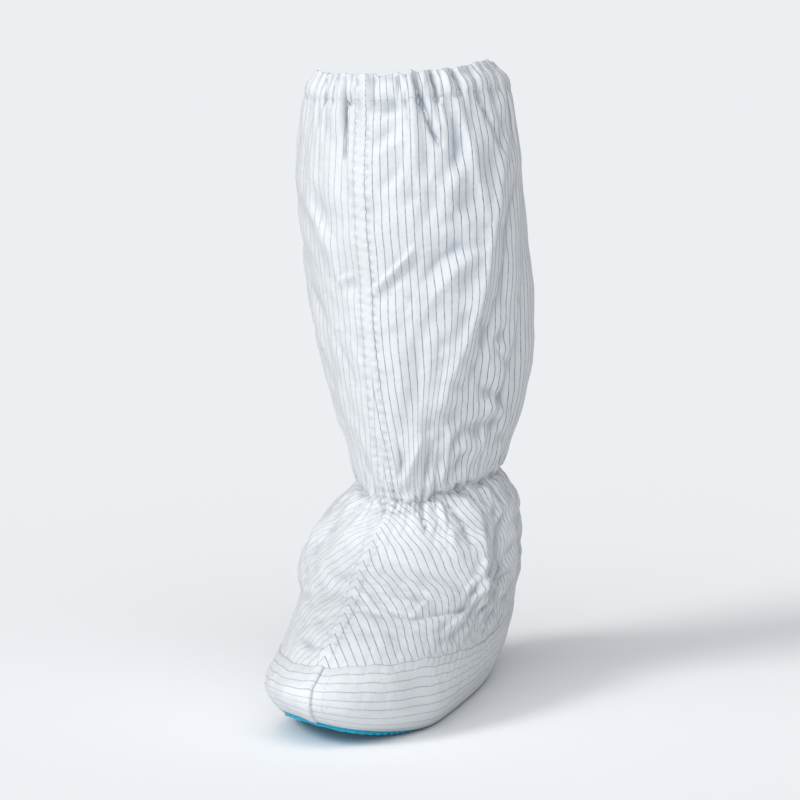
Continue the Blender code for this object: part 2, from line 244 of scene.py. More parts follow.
def aboveAnkle(level):
    # 0 up to the ankle's elastic, 1 a little over it
    return smoothStep(levelOf["ankle"] + 0.1, levelOf["ankle"] + 0.7, level)


def skewBehindRidge(level, toFront):
    # behind the ridge the cloth is pulled down to the front, so that its stripes slant
    height = np.interp(level, range(len(sections)), sectionHeights)
    behind = toFront - np.interp(height, ridgeHeights, ridgePlaces)
    pull = upperCloth["skew"] * (1 - smoothStep(160, 290, height)) * aboveAnkle(level)
    return pull * plateau(behind, -17, 11, 40, 82)


def layCloth(levels):
    # points, distance from the front seam (outer side positive), cloth distance from the back seam
    rows = []
    for level in levels:
        halfCloth = sectionAt(level).cloth
        even = smoothStep(levelOf["instep"] - 1.0, levelOf["ankleLow"], level)
        bunch = 1 + bell(level - levelOf["ankle"], 2.0) * (1 - aboveAnkle(level))
        sides = []
        for way in (1, -1):
            ring, length = halfRing(level, way)
            distance = columnDistances(length[-1])
            toFront = (length[-1] - distance) / mm
            share = toFront / (length[-1] / mm)
            # on the foot the spare cloth lies behind the side's corner, under the ankle to the back
            spare = halfCloth - length[-1] / mm
            fromFront = toFront + spare * (even * share ** bunch + (1 - even) * smoothStep(0.34, 0.76, share))
            if way > 0:
                fromFront = fromFront + skewBehindRidge(level, toFront)
            side = np.column_stack([placeOn(ring, length, distance), way * toFront,
                                    way * (halfCloth - fromFront)])
            sides.append(side if way > 0 else side[-2::-1])
        rows.append(np.concatenate(sides))
    rows = np.array(rows)
    return rows[:, :, :3] + shift, rows[:, :, 3].copy(), rows[:, :, 4].copy()


def facingOut(normals, points):
    outward = np.sum(normals * (points - points.mean(axis=(0, 1)))) > 0
    return normals if outward else -normals


def gridNormals(points):
    # first and last column are the same line on the back seam
    ahead = np.concatenate([points[:, 1:], points[:, 1:2]], axis=1)
    behind = np.concatenate([points[:, -2:-1], points[:, :-1]], axis=1)
    return facingOut(unit(np.cross(np.gradient(points, axis=0), ahead - behind)), points)


levels = clothRows()
form, around, cloth = layCloth(levels)
normals = gridNormals(form)
runUp = np.concatenate([np.zeros((1, form.shape[1])),
                        np.cumsum(np.linalg.norm(np.diff(form, axis=0), axis=2), axis=0)]) / mm
middleColumn = upperCloth["sideColumns"]
print("cloth grid", form.shape)


def runFrom(name):
    # distance along the cloth above a section, in millimetres
    level = levelOf[name]
    row = np.searchsorted(levels, level)
    share = (level - levels[row - 1]) / (levels[row] - levels[row - 1])
    start = runUp[row - 1] * (1 - share) + runUp[row] * share
    return runUp - start


def cornerDip(place):
    return upperCloth["cornerDip"] * bell(place - 160, 55)


fromAnkle = runFrom("ankle")
fromHem = runFrom("hemLine")
fromBand = runFrom("bandTop") + cornerDip(around)


def formPoint(aroundAt, heightAt):
    ring, length = halfRing(levelAt(heightAt), 1 if aroundAt >= 0 else -1)
    distance = length[-1] - abs(aroundAt) * mm
    return placeOn(ring, length, np.array([distance]))[0] + shift


# Main creases: distance round from the front seam (outer side positive) and height, both in millimetres,
# then half width and rise (troughs are negative).
crease = namedtuple("crease", "path width rise")
creases = [
    # pleats at the hem and below it
    crease([(-11, 350), (-11, 340), (-11, 328), (-10, 314), (-11, 304)], 1.5, -6.4),
    crease([(-17, 348), (-18, 333), (-18, 316)], 4.5, 1.8),
    crease([(-5, 348), (-6, 334), (-6, 318)], 3.5, 1.6),
    crease([(-4, 343), (-8, 337), (-11, 333)], 1.6, -2.4),
    crease([(-26, 349), (-26, 340), (-25, 331)], 1.8, -2.2),
    crease([(7, 350), (7, 345), (7, 336)], 1.6, -2.0),
    crease([(5, 332), (15, 332), (26, 334)], 4.5, -2.4),
    crease([(20, 350), (21, 344), (21, 338)], 1.5, -3.0),
    crease([(29, 349), (30, 343), (33, 337), (36, 329), (40, 318), (46, 309)], 1.7, -6.0),
    crease([(26, 350), (27, 344), (31, 338)], 1.8, 2.6),
    crease([(34, 349), (34, 344), (33, 339)], 1.7, 2.4),
    crease([(25, 340), (28, 325), (31, 306), (33, 287)], 6.0, 2.2),
    crease([(40, 351), (41, 344), (43, 337), (45, 331)], 1.5, -5.6),
    crease([(44, 338), (49, 330), (53, 320), (55, 309), (54, 295)], 4.5, -3.4),
    crease([(46, 351), (48, 343), (50, 336)], 2.2, 2.2),
    crease([(50, 341), (58, 320), (65, 304), (70, 284), (72, 267)], 6.0, 2.8),
    crease([(53, 351), (56, 344), (58, 336)], 1.8, -3.6),
    crease([(63, 352), (67, 343), (70, 333), (79, 318), (90, 304)], 3.0, -3.0),
    crease([(-38, 349), (-37, 340), (-38, 325), (-38, 309)], 3.0, -1.8),
    crease([(-32, 343), (-31, 327), (-32, 306), (-33, 289)], 5.0, 1.2),
    # folds across the front of the shaft
    crease([(38, 295), (46, 287), (54, 276), (62, 266)], 3.0, 1.6),
    crease([(30, 257), (25, 250), (17, 242), (8, 234), (1, 228)], 1.6, 2.6),
    crease([(32, 251), (24, 241), (12, 232), (5, 227)], 4.5, -1.6),
    crease([(-21, 233), (-14, 237), (-6, 240)], 1.6, 2.0),
    crease([(-21, 230), (-12, 233), (-5, 237)], 3.5, -1.1),
    crease([(23, 224), (32, 236), (42, 248), (53, 255), (68, 260)], 5.0, -2.2),
    crease([(28, 213), (39, 229), (49, 241), (62, 250), (75, 254)], 5.0, 2.4),
    crease([(6, 313), (14, 318), (25, 327)], 4.0, -1.5),
    crease([(9, 287), (16, 295), (25, 306)], 5.0, -1.3),
    crease([(7, 304), (16, 311), (26, 316)], 4.0, 1.2),
    crease([(-49, 284), (-33, 271), (-24, 254), (-20, 237)], 5.0, 1.6),
    crease([(-35, 289), (-27, 275), (-19, 260)], 5.0, -1.2),
    crease([(-63, 236), (-41, 221), (-32, 207)], 4.5, -1.4),
    crease([(11, 208), (16, 195), (16, 179), (14, 164)], 5.0, 1.5),
    crease([(25, 206), (27, 190), (25, 173), (21, 158)], 5.0, -1.6),
    crease([(-17, 207), (-9, 196), (-3, 182)], 3.5, 1.3),
    crease([(-26, 205), (-17, 191), (-10, 175)], 3.5, -1.2),
    # long ridge from the outer back of the collar to the front of the ankle, with the hollow behind it
    crease([(95, 313), (85, 292), (77, 270), (72, 254), (66, 230), (58, 209), (48, 191),
            (40, 174), (31, 159)], 5.0, 3.6),
    crease([(92, 318), (82, 290), (76, 262), (70, 234), (62, 208), (52, 184), (40, 162)], 20, 3.6),
    crease([(112, 295), (98, 275), (90, 252), (83, 229), (73, 207), (62, 188), (52, 171)], 9, -4.4),
    crease([(128, 300), (118, 262), (108, 226), (96, 196), (82, 170)], 16, -2.4),
    crease([(66, 218), (68, 207), (65, 196)], 3.0, -1.8),
    crease([(104, 222), (97, 208), (84, 186), (71, 164), (62, 150)], 6, 3.0),
    crease([(74, 205), (82, 193), (96, 184)], 4.0, -1.5),
    crease([(60, 178), (74, 172), (88, 162)], 4.0, -1.5),
    crease([(90, 216), (88, 202), (78, 188), (66, 174)], 4.0, 1.4),
    # pleats over the ankle
    crease([(25, 154), (20, 146), (14, 137), (9, 129)], 3.0, 2.8),
    crease([(9, 152), (11, 142), (7, 132)], 2.4, -2.4),
    crease([(31, 151), (26, 138), (21, 127)], 2.8, -2.4),
    crease([(38, 158), (41, 150), (35, 136), (30, 125)], 3.2, 2.2),
    crease([(47, 154), (47, 140), (40, 123)], 2.8, -2.2),
    crease([(58, 148), (53, 134), (50, 124)], 2.8, 1.8),
    crease([(67, 148), (66, 134), (62, 121)], 2.8, -1.8),
    crease([(3, 158), (2, 145), (1, 132)], 2.2, -1.4),
    crease([(-8, 158), (-6, 145), (-4, 132)], 3.0, 1.4),
    crease([(-17, 157), (-14, 143), (-11, 132)], 2.6, -1.6),
    # pleats under the ankle
    crease([(3, 131), (4, 123), (6, 115)], 1.5, -3.2),
    crease([(10, 124), (13, 118), (16, 112)], 4.0, 2.6),
    crease([(13, 121), (17, 117), (21, 107), (29, 97)], 1.4, -4.4),
    crease([(23, 120), (34, 113), (48, 102), (64, 87)], 2.0, -3.0),
    crease([(18, 120), (28, 111), (44, 97), (57, 82)], 4.0, 1.6),
    crease([(31, 120), (46, 112), (58, 101)], 3.0, 1.8),
    crease([(42, 119), (56, 111), (69, 99)], 2.0, -3.4),
    crease([(53, 119), (70, 111), (82, 101)], 3.0, 1.8),
    crease([(-11, 122), (-19, 117), (-23, 110)], 3.0, -1.8),
    crease([(-7, 120), (-10, 111), (-13, 102)], 3.5, 1.5),
    crease([(-40, 116), (-44, 112), (-46, 106)], 3.0, 1.5),
    # vamp and toe
    crease([(-9, 68), (0, 71), (8, 69), (14, 65)], 2.4, 1.6),
    crease([(-1, 64), (11, 64), (23, 62)], 3.0, -1.3),
    crease([(15, 66), (30, 62), (45, 60), (66, 60), (100, 59)], 2.8, -1.9),
    crease([(13, 70), (27, 67), (44, 65), (63, 65), (100, 64)], 4.0, 1.5),
    crease([(36, 60), (42, 62), (47, 66)], 2.0, 1.7),
    crease([(51, 57), (59, 59), (81, 56), (110, 52)], 3.0, 1.2),
    crease([(30, 53), (51, 53), (86, 51)], 3.5, -1.0),
    crease([(-7, 54), (-1, 58), (7, 58)], 3.0, 0.9),
    crease([(-28, 55), (-13, 60), (-5, 63)], 3.5, -1.0),
    crease([(-27, 52), (-11, 50), (-5, 48)], 3.0, -1.2),
    # outer corner where the foot turns to the heel, with the hollow behind it
    crease([(49, 114), (62, 100), (78, 83), (90, 67), (118, 54), (150, 42)], 6.0, 3.6),
    crease([(69, 109), (88, 93), (110, 77), (140, 60), (170, 46)], 7.0, -4.2),
    crease([(87, 106), (114, 88), (150, 68), (196, 50)], 7.0, 2.6),
    crease([(130, 108), (150, 94), (172, 76), (196, 60)], 8.0, -2.6),
    # inner side swell under the ankle
    crease([(-16, 106), (-19, 91), (-24, 80), (-34, 68)], 7, 2.4),
    crease([(-33, 108), (-37, 91), (-43, 81)], 5, -2.2),
    crease([(-4, 94), (-7, 81), (-13, 71), (-20, 62)], 6, -1.8),
    crease([(-46, 100), (-58, 86), (-72, 74), (-80, 62)], 12, 3.0),
    crease([(-84, 102), (-100, 88), (-124, 72)], 9, -1.4),
    crease([(-108, 104), (-128, 88), (-150, 70)], 9, 2.6),
    # inner side and back of the shaft
    crease([(-96, 318), (-88, 284), (-84, 244), (-72, 204), (-58, 169), (-46, 150)], 8, 2.6),
    crease([(-116, 312), (-108, 274), (-100, 229), (-88, 189), (-72, 159)], 12, -3.4),
    crease([(-150, 308), (-146, 266), (-136, 224), (-118, 184)], 10, 2.4),
    crease([(-70, 260), (-92, 254), (-112, 256)], 3.5, -1.6),
    crease([(160, 244), (182, 238), (204, 242)], 4.5, -1.7),
    crease([(158, 237), (182, 231), (204, 234)], 4.5, 1.5),
    crease([(150, 310), (144, 268), (140, 224), (126, 188)], 11, 0.8),
    crease([(176, 318), (180, 294), (188, 266)], 7, 2.0),
    crease([(-176, 318), (-182, 290), (-190, 260)], 7, -2.0),
    crease([(-150, 200), (-172, 192), (-192, 196)], 4.5, 1.6),
    crease([(150, 180), (162, 162), (148, 140)], 6, -2.0),
]


def creasePath(stops):
    # points on the form, five steps between each two places of the table
    path = []
    for (fromAround, fromHeight), (toAround, toHeight) in zip(stops[:-1], stops[1:]):
        for share in np.linspace(0, 1, 6)[:-1]:
            path.append(formPoint(fromAround + (toAround - fromAround) * share,
                                  fromHeight + (toHeight - fromHeight) * share))
    return np.array(path + [formPoint(*stops[-1])])


def creaseField():
    field = np.zeros(form.shape[:2])
    for row in creases:
        path = creasePath(row.path)
        reach = 3 * row.width * mm
        near = np.all((form > path.min(axis=0) - reach) & (form < path.max(axis=0) + reach), axis=2)
        spots = form[near]
        starts = runAlong(path)
        best = np.full(len(spots), 1e9)
        place = np.zeros(len(spots))
        for index, step in enumerate(np.diff(path, axis=0)):
            share = np.clip(((spots - path[index]) @ step) / (step @ step), 0, 1)
            gap = np.linalg.norm(spots - path[index] - share[:, None] * step, axis=1)
            closer = gap < best
            best = np.where(closer, gap, best)
            place = np.where(closer, starts[index] + share * np.linalg.norm(step), place)
        taper = np.sin(np.clip(place / starts[-1], 0, 1) * math.pi) ** 0.6
        away = best / (row.width * mm)
        field[near] += row.rise * taper * (0.45 * np.exp(-away ** 2) + 0.55 * np.exp(-1.5 * away))
    return field


# Gathers over the two elastics: round ridges with sharp valleys, many small ones at the elastic that
# run out into fewer large ones. pleats is the number right round, reach how far they run, in millimetres.
gather = namedtuple("gather", "elastic way pleats rise start reach seed")
gathers = [
    gather("hemLine", 1, 46, 2.4, 0, 60, 3),
    gather("hemLine", -1, 46, 2.4, 0, 10, 3),
    gather("hemLine", -1, 24, 1.8, 6, 30, 4),
    gather("hemLine", -1, 12, 1.4, 20, 70, 8),
    gather("ankle", 1, 78, 3.2, 0, 7, 5),
    gather("ankle", 1, 34, 2.3, 4, 20, 6),
    gather("ankle", 1, 15, 1.7, 14, 50, 7),
    gather("ankle", -1, 78, 3.2, 0, 8, 5),
    gather("ankle", -1, 36, 2.3, 4, 17, 6),
    gather("ankle", -1, 17, 1.4, 12, 30, 9),
]
# 0 at the front seam, 1 at the back on the outer side, -1 at the back on the inner side
sideLength = np.where(around > 0, around.max(axis=1, keepdims=True), -around.min(axis=1, keepdims=True))
clothShare = around / sideLength
meet = smoothStep(0.9, 1.0, np.abs(clothShare)) / 2


def meetAtBack(field):
    return field * (1 - meet) + field[:, ::-1] * meet


def gatherField(kind):
    rng = np.random.default_rng(kind.seed)
    away = kind.way * runFrom(kind.elastic)
    count = kind.pleats
    uneven = np.concatenate([[0], rng.uniform(-0.34, 0.34, count - 1), [0]])
    knots = (np.arange(count + 1) + uneven) / count * 2 - 1
    rise = kind.rise * (0.3 + 1.3 * rng.random(count) ** 2)
    reach = kind.reach * rng.uniform(0.55, 1.5, count)
    lean = np.interp(clothShare, np.linspace(-1, 1, 15), rng.uniform(-0.012, 0.012, 15))
    place = np.clip(clothShare + lean * np.clip(away, 0, 30) / 10, -1, 1)
    phase = np.interp(place, knots, np.arange(count + 1.0))
    index = np.minimum(phase.astype(int), count - 1)
    ridge = np.abs(np.sin(math.pi * phase)) ** 0.75
    run = np.clip(away, 0, None)
    fade = np.exp(-(run / reach[index]) ** 1.5) * smoothStep(-1.5, max(kind.start, 1.0), away)
    return (ridge - 0.6) * rise[index] * fade


latticeSteps = np.array([73, 1091, 2749])      # spread lattice cells over the table of random values
latticeSize = 4096


def latticeNoise(points, size, seed):
    # smooth random values on a lattice, from 0 to 1
    table = np.random.default_rng(seed).random(latticeSize)
    place = points / size + 100
    cell = np.floor(place).astype(int)
    part = place - cell
    part = part * part * (3 - 2 * part)
    value = 0
    for corner in itertools.product((0, 1), repeat=3):
        weight = np.prod(np.where(corner, part, 1 - part), axis=-1)
        value = value + weight * table[(cell + corner) @ latticeSteps % latticeSize]
    return value


def crumple(points, size, seed):
    # low creases where the noise crosses its middle
    return 1 - np.abs(2 * latticeNoise(points, size, seed) - 1) * 1.6


foldKind = namedtuple("foldKind", "rise count pitch seed")
foldKinds = {
    "wide": foldKind(0.75, 9, 42, 51),
    "narrow": foldKind(0.65, 9, 20, 71),
    "behindRidge": foldKind(1.5, 14, 17, 91),
    "shaftFront": foldKind(1.1, 10, 24, 131),
    "heel": foldKind(1.8, 12, 22, 171),
}


def foldNoise(name):
    # straight soft folds in many directions on the cloth, each kept to its own patches
    kind = foldKinds[name]
    rng = np.random.default_rng(kind.seed)
    field = np.zeros(around.shape)
    for index in range(kind.count):
        angle = rng.uniform(0.15, math.pi - 0.15)
        pitch = kind.pitch * rng.uniform(0.7, 1.5)
        place = (around * math.sin(angle) + runUp * math.cos(angle)) / pitch + rng.uniform(0, 1)
        wave = np.abs(2 * (place - np.floor(place)) - 1)
        patch = latticeNoise(form / mm + 37.0 * index, kind.pitch * 1.5, kind.seed + index)
        field += (np.sqrt(wave * wave + 0.004) - 0.5) * smoothStep(0.52, 0.74, patch)
    return kind.rise * field


def puckers(place):
    return np.abs(np.sin(place / 2.1 + 1.6 * np.sin(place / 11))) ** 0.8


# the crisp line that the elastic draws is jagged by the tight pleats
ankleLine = fromAnkle + 1.3 * np.sin(around / 2.4 + 1.7 * np.sin(around / 7.3)) + 0.8 * np.sin(around / 9.1)


def clothRelief():
    # rise of the cloth over its form, in millimetres
    size = upperCloth
    height = form[:, :, 2] / mm
    toFront = np.abs(around)
    relief = creaseField()
    calm = 1 - 0.6 * bell(around - 14, 17)                # the hem is smoother beside the front seam
    for kind in gathers:
        relief += gatherField(kind) * (calm if kind.elastic == "hemLine" else 1)
    stretched = form / mm * np.array([1, 1, 0.6])
    small = 0.32 * crumple(stretched, 26, 11) + 0.28 * crumple(stretched, 12, 12) - 0.35
    small += foldNoise("wide") + foldNoise("narrow")
    relief += small * (1 - 0.5 * plateau(around, 80, 105, 135, 160))
    # slack cloth behind the long ridge, on the front of the shaft and over the heel's outer side
    slack = plateau(around, 22, 48, 80, 100) * smoothStep(124, 146, height)
    slack *= 1 - smoothStep(205, 250, height + 0.5 * (80 - around))
    relief += slack * foldNoise("behindRidge")
    relief += plateau(around, 12, 30, 90, 110) * smoothStep(240, 270, height) * foldNoise("shaftFront")
    relief += plateau(around, 62, 84, 200, 230) * (1 - smoothStep(100, 116, height)) * foldNoise("heel")
    # the front of the ankle is filled by the seam, which runs straight through
    relief += size["ankleFill"] * bell(fromAnkle, 7) * bell(around + 3, 17)
    aboveBand = smoothStep(0, 12, fromBand)
    relief *= aboveBand
    # small puckers where the cloth is sewn into the band, larger at the outer corner
    corner = 0.3 + 0.7 * plateau(around, 55, 85, 190, 220)
    nearBand = np.exp(-np.abs(fromBand - 2) / 8) * smoothStep(-2, 1, fromBand)
    relief += size["bandPucker"] * (puckers(around) - 0.6) * corner * nearBand
    # the elastic at the ankle and the hem's stitch line draw the cloth in
    relief -= size["ankleDip"] * bell(fromAnkle, 3.0)
    relief -= size["ankleLine"] * np.exp(-np.abs(ankleLine) / 1.1) * smoothStep(10, 30, toFront)
    relief -= size["hemDip"] * bell(fromHem, 1.3)
    relief += size["hemRoll"] * bell(fromHem - 6, 4.5)
    relief += size["hemRise"] * smoothStep(-0.4, 0.6, fromHem)
    relief -= size["rimDip"] * smoothStep(4, 12, fromHem)
    half = size["seamWidth"] / 2
    relief *= 1 - 0.45 * bell(toFront, half + 1)
    relief += size["seamRise"] * (1 - smoothStep(half - 0.5, half + 0.4, toFront)) * aboveBand
    beat = np.sin(2 * math.pi * runUp / 5.4 + 2.5 * np.sin(runUp / 17) + np.where(around > 0, 1.4, 0))
    relief += size["seamBeat"] * beat * bell(toFront - 3.5, 2.2) * aboveBand
    # the back seam is a plain groove between its two allowances
    toBack = sideLength - toFront
    relief -= size["backDip"] * bell(toBack, 1.1) * aboveBand
    relief += size["backRise"] * (1 - smoothStep(3.6, 4.6, toBack)) * aboveBand
    relief -= size["bandDip"] * (1 - smoothStep(-6, -2, fromBand))
    return meetAtBack(relief)


def troughDepth(field, reach):
    # how far the cloth lies below its surroundings, 0 to 1
    mean = field.copy()
    for axis in (0, 1):
        mean = sum(np.roll(mean, step, axis=axis) for step in range(-reach, reach + 1)) / (2 * reach + 1)
    return np.clip((mean - field) / 1.7, 0, 1)


relief = clothRelief()
skin = form + normals * (relief * mm)[:, :, None]
# The rim stands higher on the outer side and lower at the back: share of the half ring from the front, mm
rimLean = namedtuple("rimLean", "share rise")
rimLeans = [
    rimLean(-1.0, -12.0), rimLean(-0.75, -9.5), rimLean(-0.5, -3.0), rimLean(-0.25, 1.4),
    rimLean(0.0, 4.0), rimLean(0.12, 3.8), rimLean(0.3, 3.0), rimLean(0.5, 4.4),
    rimLean(0.6, 3.4), rimLean(0.8, -8.0), rimLean(1.0, -12.0),
]
lean = smoothRows([row.share for row in rimLeans], [[row.rise] for row in rimLeans], clothShare.ravel())
lean = lean.reshape(clothShare.shape)
# where it stands lower, the whole hem sinks with it
skin[:, :, 2] += np.maximum(lean, 0) * smoothStep(-8, 12, fromHem) * mm
skin[:, :, 2] += np.minimum(lean, 0) * smoothStep(-60, -4, fromHem) * mm
scallop = 0.7 * (relief - relief.mean(axis=1, keepdims=True))
scallop += 1.2 * np.abs(np.sin(around / 5.1 + 1.4 * np.sin(around / 13)))
scallop = meetAtBack(sum(np.roll(scallop, step, axis=1) for step in (-2, -1, 0, 1, 2)) / 5)
skin[:, :, 2] += (scallop - 0.7) * smoothStep(4, 12, fromHem) * mm
# painted shade in the creases, and in the tight pleats on the ankle's outer side
paintedCreaseShade = troughDepth(relief, 4) * smoothStep(1, 5, fromBand)
tight = bell(ankleLine, 1.5) * smoothStep(14, 40, around) * (1 - smoothStep(0.9, 1.0, clothShare))
paintedCreaseShade = np.maximum(paintedCreaseShade, tight * (0.6 + 0.4 * np.sin(around / 3.1 + np.sin(around / 5.7))))
# the stripes vanish between the tight pleats over the ankle's elastic
stripeShow = 1 - 0.85 * bell(fromAnkle - 3.2, 3.0) * smoothStep(6, 20, np.abs(around))
skinNormals = gridNormals(skin)
print("relief mm", relief.min().round(2), relief.max().round(2))


def deselectAll():
    if bpy.context.object and bpy.context.object.mode != "OBJECT":
        bpy.ops.object.mode_set(mode="OBJECT")
    bpy.ops.object.select_all(action="DESELECT")


def gridPiece(name, points, uvOfCorner, values):
    # a flat grid wrapped to the given rows and columns of points
    rows, columns = points.shape[:2]
    deselectAll()
    bpy.ops.mesh.primitive_grid_add(x_subdivisions=columns - 1, y_subdivisions=rows - 1, size=2)
    piece = bpy.context.object
    piece.name = piece.data.name = name
    mesh = piece.data
    flat = np.zeros(len(mesh.vertices) * 3)
    mesh.vertices.foreach_get("co", flat)
    flat = flat.reshape(-1, 3)
    column = np.rint((flat[:, 0] + 1) / 2 * (columns - 1)).astype(int)
    row = np.rint((flat[:, 1] + 1) / 2 * (rows - 1)).astype(int)
    corners = np.zeros(len(mesh.loops), int)
    mesh.loops.foreach_get("vertex_index", corners)
    sides = np.zeros(len(mesh.polygons), int)
    mesh.polygons.foreach_get("loop_total", sides)
    faceOf = np.repeat(np.arange(len(mesh.polygons)), sides)
    firstColumn = np.full(len(mesh.polygons), columns)
    np.minimum.at(firstColumn, faceOf, column[corners])
    uv = uvOfCorner(row[corners], column[corners], firstColumn[faceOf])
    mesh.uv_layers[0].data.foreach_set("uv", uv.astype(np.float32).ravel())
    for label, table in values.items():
        layer = mesh.attributes.new(label, "FLOAT", "POINT")
        layer.data.foreach_set("value", table[row, column].astype(np.float32))
    mesh.vertices.foreach_set("co", points[row, column].ravel())
    mesh.update()
    return piece


def onWholeMesh(operation, **settings):
    # one edit on everything in the active piece
    bpy.ops.object.mode_set(mode="EDIT")
    bpy.ops.mesh.select_all(action="SELECT")
    operation(**settings)
    bpy.ops.object.mode_set(mode="OBJECT")


def turnOutward():
    onWholeMesh(bpy.ops.mesh.normals_make_consistent, inside=False)
    bpy.ops.object.shade_smooth()


def overEdge(outer, inner, upward, height, turns):
    # rows that turn over an edge in a small round, from the outer layer to the inner one
    middle, half = (outer + inner) / 2, (outer - inner) / 2
    return np.array([middle + half * math.cos(turn * math.pi) + upward * (height * math.sin(turn * math.pi))
                     for turn in turns])


def upperCorner(row, column, firstColumn):
    # outer and inner panel meet at the front seam, each with its own stripes
    row = np.minimum(row, len(levels) - 1)
    across = cloth[row, column].copy()
    atFront = column == middleColumn
    across[atFront] = np.where(firstColumn[atFront] < middleColumn, 1, -1) * np.abs(across[atFront])
    return np.stack([across * mm, runUp[row, column] * mm], axis=1)


def addUpper():
    wall = upperCloth["wall"] + (upperCloth["hemWall"] - upperCloth["wall"]) * smoothStep(-2, 4, fromHem)
    wall = (wall * mm)[:, :, None]
    backing = skin - skinNormals * wall
    crown = overEdge(skin[-1], backing[-1], unit(skin[-1] - skin[-4]), wall[-1] / 2, (0.2, 0.4, 0.6, 0.8))
    overRim = np.concatenate([np.arange(len(levels)), np.full(len(crown), len(levels) - 1)])
    outside = gridPiece("upperCloth", np.concatenate([skin, crown]), upperCorner,
                        {"paintedCreaseShade": paintedCreaseShade[overRim], "stripeShow": stripeShow[overRim]})
    # the inside is coarser, and runs from the rim down
    rowPick = np.unique(np.concatenate([np.arange(0, len(levels), 3), [len(levels) - 1]]))[::-1]
    columnPick = np.arange(0, skin.shape[1], 2)
    inner = backing[rowPick][:, columnPick]

    def innerCorner(row, column, firstColumn):
        return upperCorner(rowPick[row], columnPick[column], columnPick[firstColumn])

    inside = gridPiece("upperInside", inner, innerCorner,
                       {"paintedCreaseShade": np.zeros(inner.shape[:2]), "stripeShow": np.ones(inner.shape[:2])})
    deselectAll()
    inside.select_set(True)
    outside.select_set(True)
    bpy.context.view_layer.objects.active = outside
    bpy.ops.object.join()
    onWholeMesh(bpy.ops.mesh.remove_doubles, threshold=0.00002)
    # the rim and the lower edge are closed between the two layers
    halfway = (upperLow[2] + upperHigh[2]) / 2
    for above in (True, False):
        bpy.ops.object.mode_set(mode="EDIT")
        bpy.ops.mesh.select_mode(type="EDGE")
        bpy.ops.mesh.select_all(action="DESELECT")
        bpy.ops.mesh.select_non_manifold(extend=False, use_wire=False, use_multi_face=False,
                                         use_non_contiguous=False, use_verts=False)
        bpy.ops.object.mode_set(mode="OBJECT")
        mesh = outside.data
        for edge in mesh.edges:
            if edge.select and (mesh.vertices[edge.vertices[0]].co.z > halfway) != above:
                edge.select = False
        print("open edges", "above" if above else "below", sum(edge.select for edge in mesh.edges))
        bpy.ops.object.mode_set(mode="EDIT")
        bpy.ops.mesh.bridge_edge_loops()
        bpy.ops.object.mode_set(mode="OBJECT")
    turnOutward()
    return outside


upper = addUpper()
print("upper", len(upper.data.polygons), "faces")

# Band round the foot, in millimetres
bandCloth = {
    "thickness": 0.8,
    "gap": 0.12,
    "columns": 360,
    "rows": 24,
    "samples": 6,              # steps of the form between the lower edge and the top
    "bottom": 0.16,            # level where the band's lower edge starts
    "height": 38,
    "halfLength": 320,
    "levelHeight": 14,         # height of one level of the section table under the band's top
    "lap": 0.9,                # rise of the inner end, which laps over the outer end at the toe seam
    "toeDrop": 2.6,            # how far the lower edge hangs over the sole
    "sideDrop": 4.6,
    "topThin": 0.5,            # pressed thin along the top
    "pucker": 1.3,
}
# stitch rows that pull the band in: distance from the top edge, depth and half width
stitchDent = namedtuple("stitchDent", "fromTop depth width")
stitchDents = [stitchDent(2.6, 0.35, 0.9), stitchDent(23.1, 0.3, 1.2)]


def bandForm():
    # columns start at the toe seam, run round the outer side, the heel and the inner side
    distance = np.linspace(0, 1, bandCloth["columns"] // 2 + 1)
    columns = np.arange(len(distance))
    share = np.linspace(0, 1, bandCloth["rows"])[:, None]
    bottom, count = bandCloth["bottom"], bandCloth["samples"]
    sides, places = [], []
    for way in (1, -1):
        place = way * distance * bandCloth["halfLength"]
        # the top edge dips at the outer corner and is a little uneven
        dip = cornerDip(place) + 0.35 * np.sin(distance * 52 + way) + 0.3 * np.sin(distance * 117)
        top = levelOf["bandTop"] - dip / bandCloth["levelHeight"]
        samples = []
        for level in np.linspace(bottom, top.max(), count + 1):
            points, length = halfRing(level, way)
            samples.append(placeOn(points, length, length[-1] * (1 - distance)))
        samples = np.array(samples)
        spot = share * (top - bottom) / (top.max() - bottom) * count
        low = np.clip(np.floor(spot).astype(int), 0, count - 1)
        part = (spot - low)[:, :, None]
        side = samples[low, columns] * (1 - part) + samples[low + 1, columns] * part
        sides.append(side if way > 0 else side[:, ::-1][:, 1:])
        places.append(place if way > 0 else place[::-1][1:])
    return np.concatenate(sides, axis=1) + shift, np.concatenate(places)


def bandWave(base, place):
    # rise of the band over its form, in millimetres
    share = np.linspace(0, 1, len(base))[:, None]
    fromTop = (1 - share) * bandCloth["height"]
    wave = 0.8 * crumple(base / mm * np.array([1, 1, 0.7]), 15, 31)
    wave += 1.6 * (latticeNoise(base / mm, 26, 32) - 0.5)
    wave = (wave - 0.4) * np.sin(math.pi * share) ** 0.7
    # puckers from the seam above, larger at the outer corner
    atCorner = 0.25 + 0.75 * plateau(place, 50, 80, 180, 215)
    wave += bandCloth["pucker"] * (puckers(place) - 0.5) * atCorner * np.exp(-fromTop / 9)
    wave += np.where(place <= 0, 1, 0) * bandCloth["lap"] * bell(place, 5.0)
    wave[:, 0] = -bandCloth["thickness"] * 0.5
    wave[:, -1] = -bandCloth["thickness"]
    wave -= bandCloth["topThin"] * smoothStep(0.9, 1, share)
    for dent in stitchDents:
        wave -= dent.depth * bell(fromTop - dent.fromTop, dent.width)
    return wave


